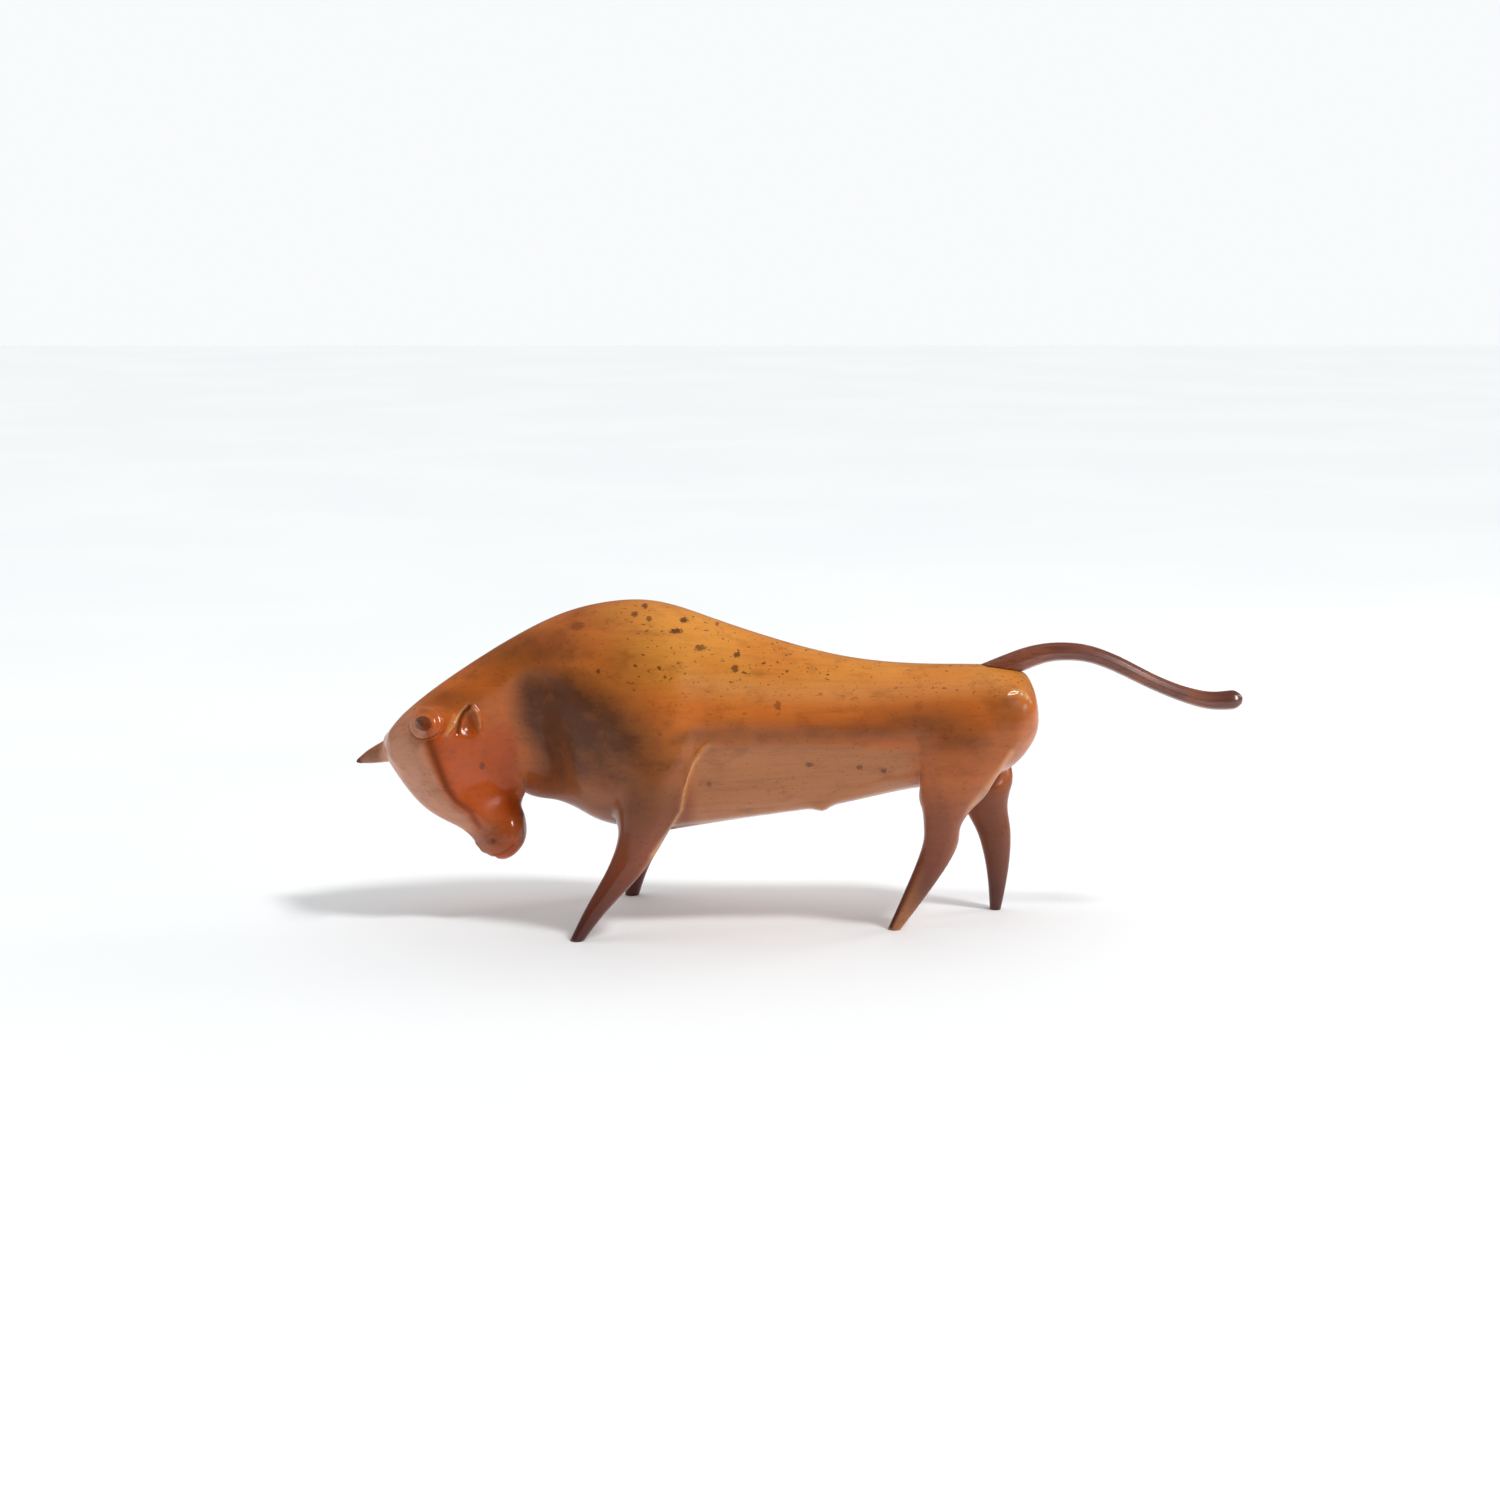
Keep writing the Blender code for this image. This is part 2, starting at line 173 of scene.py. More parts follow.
def fine_copy(node, name):
    """A denser copy of a node's solid, smooth but for its sharp edges."""
    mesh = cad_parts[node].data.copy()
    mesh.name = name
    work = bmesh.new()
    work.from_mesh(mesh)
    bmesh.ops.remove_doubles(work, verts=work.verts, dist=WELD)
    bmesh.ops.join_triangles(
        work,
        faces=work.faces,
        angle_face_threshold=FLAT_PAIR,
        angle_shape_threshold=SQUARE_PAIR,
    )
    crease = work.edges.layers.float.get("crease_edge") or work.edges.layers.float.new("crease_edge")
    for edge in work.edges:
        if len(edge.link_faces) == 2 and edge.calc_face_angle() > SHARP_EDGE:
            edge[crease] = 1.0
    work.to_mesh(mesh)
    work.free()
    mesh.materials.clear()
    coarse = bpy.data.objects.new(name, mesh)
    bpy.context.scene.collection.objects.link(coarse)
    smooth = coarse.modifiers.new("Smooth", "SUBSURF")
    smooth.levels = SMOOTH_LEVELS
    smooth.render_levels = SMOOTH_LEVELS
    graph = bpy.context.evaluated_depsgraph_get()
    dense = bpy.data.meshes.new_from_object(coarse.evaluated_get(graph))
    coarse.modifiers.clear()
    coarse.data = dense
    dense.shade_smooth()
    return coarse


def refine(obj, chosen, longest):
    """Halves the longer edges between the chosen points, so that fine carving has points to move."""
    work = bmesh.new()
    work.from_mesh(obj.data)
    work.verts.ensure_lookup_table()
    edges = [e for e in work.edges if chosen[e.verts[0].index] and chosen[e.verts[1].index]]
    edges = [e for e in edges if e.calc_length() > longest]
    bmesh.ops.subdivide_edges(work, edges=edges, cuts=1, use_grid_fill=True)
    work.to_mesh(obj.data)
    work.free()
    obj.data.shade_smooth()


def soften(obj, amount, rounds):
    """Evens out the surface where the amount is above 0, as a thumb would in clay."""
    pairs = np.empty(len(obj.data.edges) * 2, dtype=np.int64)
    obj.data.edges.foreach_get("vertices", pairs)
    one, other = pairs[0::2], pairs[1::2]
    points = places(obj)
    count = np.bincount(pairs, minlength=len(points))[:, None]
    for _ in range(rounds):
        total = np.zeros_like(points)
        for axis in range(3):
            total[:, axis] += np.bincount(one, weights=points[other, axis], minlength=len(points))
            total[:, axis] += np.bincount(other, weights=points[one, axis], minlength=len(points))
        points += (total / count - points) * (FOLD_STEP * amount)[:, None]
    obj.data.vertices.foreach_set("co", points.ravel())
    obj.data.update()


def places(obj):
    flat = np.empty(len(obj.data.vertices) * 3)
    obj.data.vertices.foreach_get("co", flat)
    return flat.reshape(-1, 3)


def facings(obj):
    flat = np.empty(len(obj.data.vertices) * 3)
    obj.data.vertex_normals.foreach_get("vector", flat)
    return flat.reshape(-1, 3)


# Lines of the carving as the photo shows them, in its pixels
EAR_TIP = (470, 706)
EAR_GROOVE = (EAR_TIP, (464, 712), (460, 720), (458, 733))
EAR_RIM = ((466, 707), (460, 713), (456, 722), (449, 731))
EAR_RIDGE = ((472, 706), (477, 712), (480, 720), (481, 735))
EAR_HOLLOW = ((470, 716), (469, 731))
EAR_BUMPS = ((454, 717), (446, 734))
BROW_LINE = ((429, 742), (439, 768), (447, 788), (456, 801), (470, 811), (480, 828))
NOSTRIL = (493, 840)
MOUTH = ((484, 853), (492, 855), (501, 854), (508, 850), (513, 845))
JAW_FOLD = ((512, 766), (519, 784), (506, 800), (487, 806), (502, 819))
MUZZLE_SIDE = (511, 820)
PIN_BONE = ((1004, 695), (1011, 692), (1018, 691), (1024, 694), (1030, 701))
PIN_HOLLOW = (1009, 701)
ELBOW = (
    (722, 744),
    (711, 745),
    (703, 751),
    (694, 763),
    (688, 778),
    (684, 793),
    (681, 812),
    (668, 833),
    (652, 856),
)
SHEATH = (822, 806)
FRONT_LEG_RIDGE = ((668, 800), (652, 830), (634, 858), (612, 886), (590, 918))
HIND_LEG_RIDGE = ((948, 800), (952, 830), (940, 862), (918, 896), (902, 920))
REAR_GROOVE = ((1020, 670), (1027, 677), (1033, 688))
FINE_LINES = (EAR_GROOVE, EAR_RIDGE, EAR_BUMPS, MOUTH, PIN_BONE, ELBOW[:-1], REAR_GROOVE)

# Lines of the painted shade, the painted sheen and the painted highlights
DARK_ZONE_TOP = ((490, 650), (555, 654), (598, 665), (632, 685), (660, 712), (690, 736), (722, 744))
DARK_BAND = ((672, 742), (720, 735), (800, 735), (880, 731), (930, 730), (985, 742))
SHEEN = ((690, 684), (760, 691), (850, 694), (950, 689), (1000, 682))
FRONT_LEG_EDGE = ((681, 815), (668, 835), (650, 862), (634, 884))
HIND_LEG_EDGE = ((1012, 752), (990, 784), (970, 808), (960, 840), (944, 866))

# Ovals of painted shade on the body: how dark, the middle and the half sizes
DARK_OVALS = (
    (0.64, (926, 726), (56, 20)),
    (0.6, (952, 742), (46, 20)),
    (0.36, (985, 752), (62, 34)),
    (0.6, (520, 650), (95, 30)),
    (0.45, (446, 698), (40, 12)),
    (0.42, (1010, 716), (28, 24)),
    (0.4, (612, 672), (46, 46)),
    (0.5, (1000, 835), (30, 60)),
    (0.35, (590, 618), (52, 20)),
)

# Each horn: the middle of its base and the way it points, as (down the face, out of it, across it),
# how much it narrows above its collar, and how dark its painted shade is there
LEFT_HORN = ((-1.9, -5.2, -20.4), (-0.17, 0.56, -0.82), 2.9, 0.9)
RIGHT_HORN = ((-1.0, -2.5, 18.0), (-0.26, 0.4, 0.88), 0.8, 0.5)


def head_way(down, out, across):
    """A way given down the face, out of it and across it."""
    return DOWN_FACE * down + FROM_BROW * out + ACROSS * across


def horn_places(points, horn):
    """For each point, how far out along a horn it is, how far from its axis, and the way away from it."""
    out = head_way(*horn[1])
    out /= np.linalg.norm(out)
    away = (points - HORN_LINE) / MM - head_way(*horn[0])
    along = away @ out
    radial = away - np.outer(along, out)
    beside = np.linalg.norm(radial, axis=1)
    return along, beside, radial / np.maximum(beside, 1e-6)[:, None], out


def horn_shift(points, horn):
    """A waist above the horn's base and a thick collar round it, in millimetres."""
    along, beside, outward, out = horn_places(points, horn)
    on_horn = smooth_step(-beside, -8.3, -7.6)
    waist = horn[2] * smooth_step(along, 2.2, 4.2) * (1 - smooth_step(along, 5.0, 20.0)) * on_horn
    swell = 1.1 * hill(along - 0.8, 1.4) * smooth_step(-beside, -9.0, -8.0)
    low = (1 - smooth_step(along, 1.0, 3.0)) * smooth_step(along, -6.0, -3.0)
    collar = -0.3 * hill(beside - 8.9, 0.7) * low
    return outward * (swell - waist)[:, None] + out * collar[:, None]


def ear_height(across, down):
    groove, along = from_line(across, down, EAR_GROOVE)
    rim, rim_along = from_line(across, down, EAR_RIM)
    ridge, ridge_along = from_line(across, down, EAR_RIDGE)
    hollow, _ = from_line(across, down, EAR_HOLLOW)
    bumps, _ = from_line(across, down, EAR_BUMPS)
    ear = 1.0 * hill(rim, 2.6) * (1 - 0.7 * smooth_step(rim_along, 0.7, 1.0))
    ear -= 1.9 * hill(groove, 2.0) * (1 - 0.7 * smooth_step(along, 0.6, 1.0))
    ear += 1.9 * hill(ridge, 2.3) * (1 - 0.7 * smooth_step(ridge_along, 0.7, 1.0))
    ear -= 1.8 * hill(hollow, 6.5) * (1 - smooth_step(down, 727, 739))
    ear += 1.2 * hill(bumps, 3.4)
    near = np.hypot(across - 466, down - 720)
    return ear * (1 - smooth_step(near, 24, 32))


def head_height(across, down):
    """Heights in millimetres on the left side of the head, at places in the photo."""
    heights = ear_height(across, down)
    ridge, along = from_line(across, down, BROW_LINE)
    fade = smooth_step(along, 0.0, 0.1) * (1 - smooth_step(along, 0.7, 1.0))
    heights -= 0.25 * hill(ridge, 7.0) * fade
    heights += 2.0 * cloud(across, down, MUZZLE_SIDE, (17, 16))
    nostril = np.hypot((across - NOSTRIL[0]) / 1.2, down - NOSTRIL[1])
    heights -= 1.4 * hill(nostril, 2.6)
    heights += 0.5 * hill(nostril - 5.2, 1.8)
    mouth, along = from_line(across, down, MOUTH)
    fade = smooth_step(along, 0.0, 0.15) * (1 - smooth_step(along, 0.85, 1.0))
    heights -= 0.6 * hill(mouth, 1.3) * fade
    return heights


def body_height(across, down):
    """Heights in millimetres on the left side of the body, at places in the photo."""
    pin, along = from_line(across, down, PIN_BONE)
    fade = smooth_step(along, 0.0, 0.3) * (1 - smooth_step(along, 0.8, 1.0))
    heights = 0.5 * hill(pin + 1.0, 2.4) * fade
    heights -= 0.9 * smooth_step(pin, 0.0, 2.5) * np.exp(-np.maximum(pin, 0.0) / 8.0) * fade
    groove, _ = from_line(across, down, REAR_GROOVE)
    heights -= 0.9 * hill(groove, 1.8)
    step, along = from_line(across, down, ELBOW)
    behind = -step
    fade = smooth_step(along, 0.0, 0.25) * (1 - smooth_step(along, 0.6, 1.0))
    dip = smooth_step(behind, -2.0, 1.5) * np.exp(-np.maximum(behind, 0.0) / 32.0)
    heights -= 2.4 * dip * fade
    heights += 0.9 * hill(behind + 3.0, 2.6) * fade
    for line in (FRONT_LEG_RIDGE, HIND_LEG_RIDGE):
        ridge, along = from_line(across, down, line)
        fade = smooth_step(along, 0.0, 0.25) * (1 - smooth_step(along, 0.85, 1.0))
        heights += 0.4 * hill(ridge, 4.0) * fade
    return heights


def add_tone(obj, name, values):
    """Keeps a number from 0 to 1 for each point, for the finish to read."""
    layer = obj.data.attributes.new(name, "FLOAT", "POINT")
    layer.data.foreach_set("value", np.clip(values, 0.0, 1.0).astype(np.float32))


def cloud(across, down, middle, radii):
    """1 in the middle of a soft oval, 0 well outside it."""
    return hill(np.hypot((across - middle[0]) / radii[0], (down - middle[1]) / radii[1]), 1.0)


def shade_of(across, down):
    """How dark the painted shade is on the body, at places in pixels."""
    cheek = 506 + 20 * smooth_step(down, 712, 758)
    inside = smooth_step(across, cheek - 10, cheek + 26)
    below, _ = from_line(across, down, DARK_ZONE_TOP)
    zone = smooth_step(below, -26, 42) * inside
    deep = 0.68 + 0.24 * cloud(across, down, (560, 700), (70, 38))
    deep += 0.12 * cloud(across, down, (620, 745), (30, 26))
    deep += 0.14 * cloud(across, down, (565, 752), (32, 26))
    deep -= 0.3 * smooth_step(down, 770, 800) * (1 - smooth_step(across, 600, 640))
    shade = zone * (deep - 0.08 * smooth_step(across, 640, 690)) * (1 - smooth_step(down, 800, 860))
    step, _ = from_line(across, down, ELBOW)
    shade *= 1 - smooth_step(-step, -2.0, 3.0) * (down > 742) * (across > 640)
    band, _ = from_line(across, down, DARK_BAND)
    shade = np.maximum(shade, 0.55 * hill(band, 13))
    for dark, middle, radii in DARK_OVALS:
        shade = np.maximum(shade, dark * cloud(across, down, middle, radii))
    return shade


def highlights_of(across, down, is_head, facing, is_left):
    """Painted highlights on the elbow, pin bone, legs' rear edges and ear, and a painted sheen high on the
    flank.
    """
    step, along = from_line(across, down, ELBOW)
    highlight = 0.85 * hill(step + 0.6, 2.7) * smooth_step(along, 0.0, 0.25)
    pin, along = from_line(across, down, PIN_BONE)
    ledge = 0.85 * hill(pin, 1.9) * smooth_step(along, 0.1, 0.4) * (1 - smooth_step(along, 0.8, 1.0))
    highlight = np.maximum(highlight, ledge)
    for line in (FRONT_LEG_EDGE, HIND_LEG_EDGE):
        edge, along = from_line(across, down, line)
        highlight = np.maximum(highlight, 0.45 * hill(edge, 2.6) * (1 - smooth_step(along, 0.6, 1.0)) * is_left)
    sheen, along = from_line(across, down, SHEEN)
    highlight = np.maximum(highlight, 0.3 * hill(sheen, 12) * (1 - 0.5 * smooth_step(along, 0.4, 1.0)))
    highlight *= (1 - is_head) * smooth_step(np.abs(facing[:, 1]), 0.2, 0.45)
    rim, _ = from_line(across, down, EAR_RIM)
    ridge, _ = from_line(across, down, EAR_RIDGE)
    bumps, _ = from_line(across, down, EAR_BUMPS)
    ear = np.maximum(0.7 * hill(rim, 1.6), 0.6 * hill(ridge - 1.0, 1.6) * (down < 728))
    return np.maximum(highlight, np.maximum(ear, 0.5 * hill(bumps, 2.4)) * is_head)


def lines_of(across, down, is_head, facing, points):
    """Dark of the carving: painted shade in its lines and hollows and at the horns' waists, and the horns'
    dark tips.
    """
    ridge, along = from_line(across, down, BROW_LINE)
    line = 0.75 * hill(ridge, 5.5 - 2.5 * along) * (1 - 0.4 * smooth_step(along, 0.5, 1.0))
    groove, _ = from_line(across, down, EAR_GROOVE)
    line = np.maximum(line, hill(groove, 1.7))
    hollow, _ = from_line(across, down, EAR_HOLLOW)
    line = np.maximum(line, 0.4 * hill(hollow, 6.0))
    nostril = np.hypot((across - NOSTRIL[0]) / 1.2, down - NOSTRIL[1])
    line = np.maximum(line, 0.6 * hill(nostril, 4.0))
    line = np.maximum(line, 0.55 * hill(nostril, 15.0))
    mouth, _ = from_line(across, down, MOUTH)
    line = np.maximum(line, 0.5 * hill(mouth, 1.8)) * is_head
    pin = cloud(across, down, PIN_HOLLOW, (9, 4.5))
    line = np.maximum(line, 0.45 * pin * (1 - is_head))
    groove, _ = from_line(across, down, REAR_GROOVE)
    behind = smooth_step(np.abs(facing[:, 1]), 0.12, 0.3) * (1 - smooth_step(facing[:, 2], 0.5, 0.75))
    line = np.maximum(line, hill(groove, 1.7) * (1 - is_head) * behind)
    for horn in (LEFT_HORN, RIGHT_HORN):
        along, beside, _, _ = horn_places(points, horn)
        waist = smooth_step(along, 2.0, 3.4) * smooth_step(-beside, -6.8, -5.8)
        tip = smooth_step(along, 21.0, 25.0) * (beside < 6)
        line = np.maximum(line, np.maximum(horn[3] * waist, tip))
    return line


def tone_bull(bull, across, down, on_body, is_head, facing, points):
    """Painted shade, light, highlights and reflections, the redder cheek and darker legs, from ovals and
    lines.
    """
    body = 1 - is_head
    # Painted shade on the neck, the shoulder and along the flank, kept off the cheek
    off_cheek = 1 - is_head * smooth_step(on_body[1], 705, 735) * (on_body[0] < 508)
    shade = shade_of(*on_body) * smooth_step(on_body[0], 405, 425) * off_cheek
    add_tone(bull, "shade", shade)
    # Painted highlights and painted sheen, as pale colour
    add_tone(bull, "painted_highlight", highlights_of(across, down, is_head, facing, points[:, 1] < BODY_MIDDLE))
    add_tone(bull, "leg", body * smooth_step(-points[:, 2], -LEG_HEIGHTS[0], -LEG_HEIGHTS[1]))
    add_tone(bull, "cheek", is_head * smooth_step(down, 700, 745))
    # Painted reflection of the pale floor on the forehead plane, where it faces out from the brow, and on
    # the poll; the nose greyed too
    ridge, along = from_line(across, down, BROW_LINE)
    plane = smooth_step(ridge, -3.0, 11.0) * is_head * (1 - smooth_step(across, 470, 500))
    grey = plane * smooth_step(facing @ FROM_BROW, 0.2, 0.6)
    poll = 0.85 * cloud(across, down, (404, 723), (20, 22))
    nose = 0.55 * cloud(across, down, (488, 838), (15, 22))
    add_tone(bull, "grey", np.maximum(grey, np.maximum(poll, nose) * is_head))
    # Painted shade in the carved lines and hollows, and the horns' own dark tips
    line = lines_of(across, down, is_head, facing, points)
    add_tone(bull, "line", line)
    below_pin = cloud(across, down, (1023, 708), (13, 11)) * body
    above_muzzle = cloud(across, down, (491, 799), (23, 13)) * is_head
    far_knee = cloud(*in_picture(points), (996, 779), (20, 20)) * (points[:, 1] > 0)
    add_tone(bull, "dull", np.maximum.reduce((0.85 * shade, line, below_pin, above_muzzle, far_knee)))

    # Painted reflection of the pale floor: the lower flank below a soft line where it faces down, and the
    # breast's underside
    edge = 747 + 3 * np.sin(across / 45)
    pale = smooth_step(down, edge - 3, edge + 3)
    pale = pale * smooth_step(across, 686, 700) * (1 - smooth_step(across, 900, 930))
    step, _ = from_line(across, down, ELBOW)
    pale = pale * smooth_step(-step, -1.0, 2.0) * body * smooth_step(-facing[:, 2], -0.35, -0.05)
    breast = 0.6 * smooth_step(down, 778, 800) * smooth_step(across, 528, 545)
    breast = breast * (1 - smooth_step(across, 600, 625)) * body * (1 - smooth_step(down, 812, 832))
    add_tone(bull, "pale", np.maximum(pale, breast))

    # Painted light from above: the top of the body and the hump golden
    gold = body * (1 - smooth_step(down, 672, 712)) * smooth_step(across, 590, 660)
    gold = np.maximum(gold, 0.8 * body * (1 - smooth_step(down, 610, 640)) * smooth_step(across, 560, 620))
    add_tone(bull, "gold", gold)


def seen_on_left(points):
    """How much each point is of the head, and where the photo shows it, or its twin on the left side."""
    across_head = (points - HORN_LINE) @ ACROSS
    is_head = smooth_step(-points[:, 0], *NECK)
    left_of_head = points - np.outer(np.maximum(across_head, 0.0) * 2, ACROSS)
    left_of_body = points.copy()
    left_of_body[:, 1] = BODY_MIDDLE - np.abs(left_of_body[:, 1] - BODY_MIDDLE)
    on_head = in_picture(left_of_head)
    on_body = in_picture(left_of_body)
    return is_head, on_head, on_body


def near_carving(points, facing, reach):
    """Which points are close to fine carving."""
    is_head, on_head, on_body = seen_on_left(points)
    across = np.where(is_head > 0.5, on_head[0], on_body[0])
    down = np.where(is_head > 0.5, on_head[1], on_body[1])
    near = np.hypot(across - NOSTRIL[0], down - NOSTRIL[1]) < reach + 5
    for line in FINE_LINES:
        distance, _ = from_line(across, down, line)
        near |= np.abs(distance) < reach
    near &= np.where(is_head > 0.5, np.abs(facing @ ACROSS), np.abs(facing[:, 1])) > 0.15
    for horn in (LEFT_HORN, RIGHT_HORN):
        along, beside, _, _ = horn_places(points, horn)
        near |= (beside < 8.5 + reach / 4) & (along > -3) & (along < 7)
    return near


def carve_bull():
    bull = fine_copy("bull", "carved_bull")
    for reach, longest in FINER_NEAR_CARVING:
        refine(bull, near_carving(places(bull), facings(bull), reach), longest)
    is_head, on_head, _ = seen_on_left(places(bull))
    fold, _ = from_line(*on_head, JAW_FOLD)
    soften(bull, is_head * (1 - smooth_step(np.abs(fold), *FOLD_REACH)), FOLD_ROUNDS)
    points = places(bull)
    facing = facings(bull)
    is_head, on_head, on_body = seen_on_left(points)
    outward_head = smooth_step(np.abs(facing @ ACROSS), 0.05, 0.3)
    outward_body = smooth_step(np.abs(facing[:, 1]), 0.1, 0.35)
    heights = head_height(*on_head) * outward_head * is_head
    heights += body_height(*on_body) * outward_body * (1 - is_head)
    across, down = in_picture(points)
    sheath = np.hypot((across - SHEATH[0]) / 1.7, down - SHEATH[1])
    under = (facing[:, 2] < 0.3) * (np.abs(points[:, 1]) < 0.03)
    heights += 2.4 * hill(sheath, 5.0) * under
    heights[points[:, 2] < FOOT_SOLE] = 0.0
    shift = horn_shift(points, LEFT_HORN) + horn_shift(points, RIGHT_HORN)
    across = np.where(is_head > 0.5, on_head[0], on_body[0])
    down = np.where(is_head > 0.5, on_head[1], on_body[1])
    tone_bull(bull, across, down, on_body, is_head, facing, points)
    moved = points + (facing * heights[:, None] + shift) * MM
    bull.data.vertices.foreach_set("co", moved.ravel())
    bull.data.update()
    return bull


def linear(red, green, blue):
    """A colour given as 0 to 255, as a shader takes it."""
    parts = (red / 255, green / 255, blue / 255)
    return tuple(((part + 0.055) / 1.055) ** 2.4 for part in parts)


# The colours of the body's wood
BROWN = linear(222, 124, 50)
BROWN_CLOUD = linear(208, 108, 42)
# Painted light from above, for the golden top of the body
GOLD = linear(226, 148, 60)
GOLD_CLOUD = linear(216, 130, 48)
CHEEK_RED = linear(194, 82, 16)
LEG_TOP = linear(150, 78, 48)
LEG_FOOT = linear(88, 40, 34)
# Painted reflection of the pale floor, for the lower flank and the breast
BELLY = linear(190, 122, 76)
# Painted shade: a greyer brown low down, a warmer brown high up, and the darkest
DARK_LOW = linear(112, 70, 48)
DARK_HIGH = linear(112, 62, 30)
DARKEST = linear(72, 44, 30)
# Painted reflection of the pale floor, grey on the forehead and poll
FACE_GREY = linear(202, 142, 110)
# Painted highlight: pale colour on edges, ridges and the flank's sheen
PAINTED_HIGHLIGHT = linear(234, 168, 106)
# Painted shade in the carving, and the dark of the horns' tips
CARVED_LINE = linear(58, 26, 16)
MOTTLE = linear(120, 60, 28)
STREAK = linear(110, 58, 28)
FIBRE = linear(104, 52, 24)
PORE = linear(70, 30, 16)
SPECK = linear(84, 36, 16)
MARK = linear(84, 36, 18)

# The colours of the tail's wood
TAIL_BROWN = linear(150, 84, 58)
TAIL_CLOUD = linear(124, 66, 48)
TAIL_STREAK = linear(80, 40, 30)
TAIL_PORE = linear(44, 22, 18)
TAIL_TIP = linear(70, 32, 30)


class Finish:
    """A material built from nodes, with places in metres in the row's frame."""

    def __init__(self, name):
        self.material = bpy.data.materials.new(name)
        self.material.use_nodes = True
        self.tree = self.material.node_tree
        self.shader = self.tree.nodes["Principled BSDF"]
        self.where = self.new("ShaderNodeTexCoord").outputs["Object"]

    def new(self, kind, **settings):
        node = self.tree.nodes.new(kind)
        for key, value in settings.items():
            setattr(node, key, value)
        return node

    def put(self, socket, value):
        if isinstance(value, bpy.types.NodeSocket):
            self.tree.links.new(value, socket)
        else:
            socket.default_value = value

    def math(self, operation, a, b=0.0, clamp=False):
        node = self.new("ShaderNodeMath", operation=operation, use_clamp=clamp)
        self.put(node.inputs[0], a)
        self.put(node.inputs[1], b)
        return node.outputs[0]

    def vector(self, operation, a, b):
        node = self.new("ShaderNodeVectorMath", operation=operation)
        self.put(node.inputs[0], a)
        self.put(node.inputs[1], b)
        return node.outputs["Vector"]

    def noise(self, scale, detail=2.0, seed=0.0, roughness=0.5):
        """Noise with its own number of waves to a metre along X, Y and Z."""
        moved = self.vector("MULTIPLY", self.where, scale)
        moved = self.vector("ADD", moved, (seed, seed * 1.7, seed * 0.6))
        node = self.new("ShaderNodeTexNoise")
        self.put(node.inputs["Vector"], moved)
        node.inputs["Scale"].default_value = 1.0
        node.inputs["Detail"].default_value = detail
        node.inputs["Roughness"].default_value = roughness
        return node.outputs["Fac"]

    def span(self, value, low, high, to_low=0.0, to_high=1.0):
        node = self.new("ShaderNodeMapRange", interpolation_type="SMOOTHSTEP")
        self.put(node.inputs["Value"], value)
        ends = (low, high, to_low, to_high)
        for name, number in zip(("From Min", "From Max", "To Min", "To Max"), ends):
            node.inputs[name].default_value = number
        return node.outputs["Result"]

    def mix(self, factor, one, other, how="MIX"):
        node = self.new("ShaderNodeMix", data_type="RGBA", blend_type=how)
        self.put(node.inputs["Factor"], factor)
        for name, value in (("A", one), ("B", other)):
            socket = [s for s in node.inputs if s.name == name and s.type == "RGBA"][0]
            self.put(socket, (*value, 1.0) if isinstance(value, tuple) else value)
        return [s for s in node.outputs if s.type == "RGBA"][0]

    def tone(self, name):
        """One of the numbers kept for each point of the piece."""
        return self.new("ShaderNodeAttribute", attribute_name=name).outputs["Fac"]

    def axis(self, name):
        node = self.new("ShaderNodeSeparateXYZ")
        self.put(node.inputs[0], self.where)
        return node.outputs[name]

    def spot(self, centre, radii, ragged):
        """1 inside a ragged spot, 0 outside it."""
        away = self.vector("SUBTRACT", self.where, centre)
        away = self.vector("MULTIPLY", away, tuple(1 / r for r in radii))
        length = self.new("ShaderNodeVectorMath", operation="LENGTH")
        self.put(length.inputs[0], away)
        return self.span(self.math("ADD", length.outputs["Value"], ragged), 0.75, 1.25, 1.0, 0.0)


# Dark marks in the wood: where the photo shows them (pixels), their half width and half height in
# millimetres, and how dark they are
MARKS = (
    (577, 626, 4.5, 2.5, 0.45),
    (598, 671, 1.3, 1.3, 0.7),
    (635, 614, 2.2, 1.4, 0.7),
    (645, 606, 2.0, 1.3, 0.75),
    (649, 619, 1.8, 1.4, 0.7),
    (635, 666, 1.2, 1.0, 0.7),
    (659, 668, 1.4, 1.2, 0.75),
    (665, 677, 1.0, 1.0, 0.7),
    (676, 631, 3.6, 1.5, 0.85),
    (684, 620, 2.6, 1.4, 0.85),
    (700, 648, 3.4, 1.8, 0.7),
    (717, 624, 1.2, 1.0, 0.6),
    (735, 669, 2.2, 2.0, 0.75),
    (737, 655, 2.2, 1.5, 0.8),
    (778, 706, 2.0, 2.6, 0.5),
    (709, 784, 1.4, 1.8, 0.5),
    (809, 765, 2.4, 1.8, 0.6),
    (859, 767, 2.0, 1.6, 0.6),
    (884, 771, 1.7, 1.7, 0.7),
    (482, 766, 1.8, 2.6, 0.6),
)
MARK_SIZE = 0.85
MARK_DEPTH = 5 * MM


def surface_finder(obj):
    """Finds the place on a piece that a pixel of the photo shows."""
    tree = BVHTree.FromObject(obj, bpy.context.evaluated_depsgraph_get())

    def find(across, down):
        hit, _, _, _ = tree.ray_cast(CAMERA_AT, ray_to(across, down))
        return hit

    return find


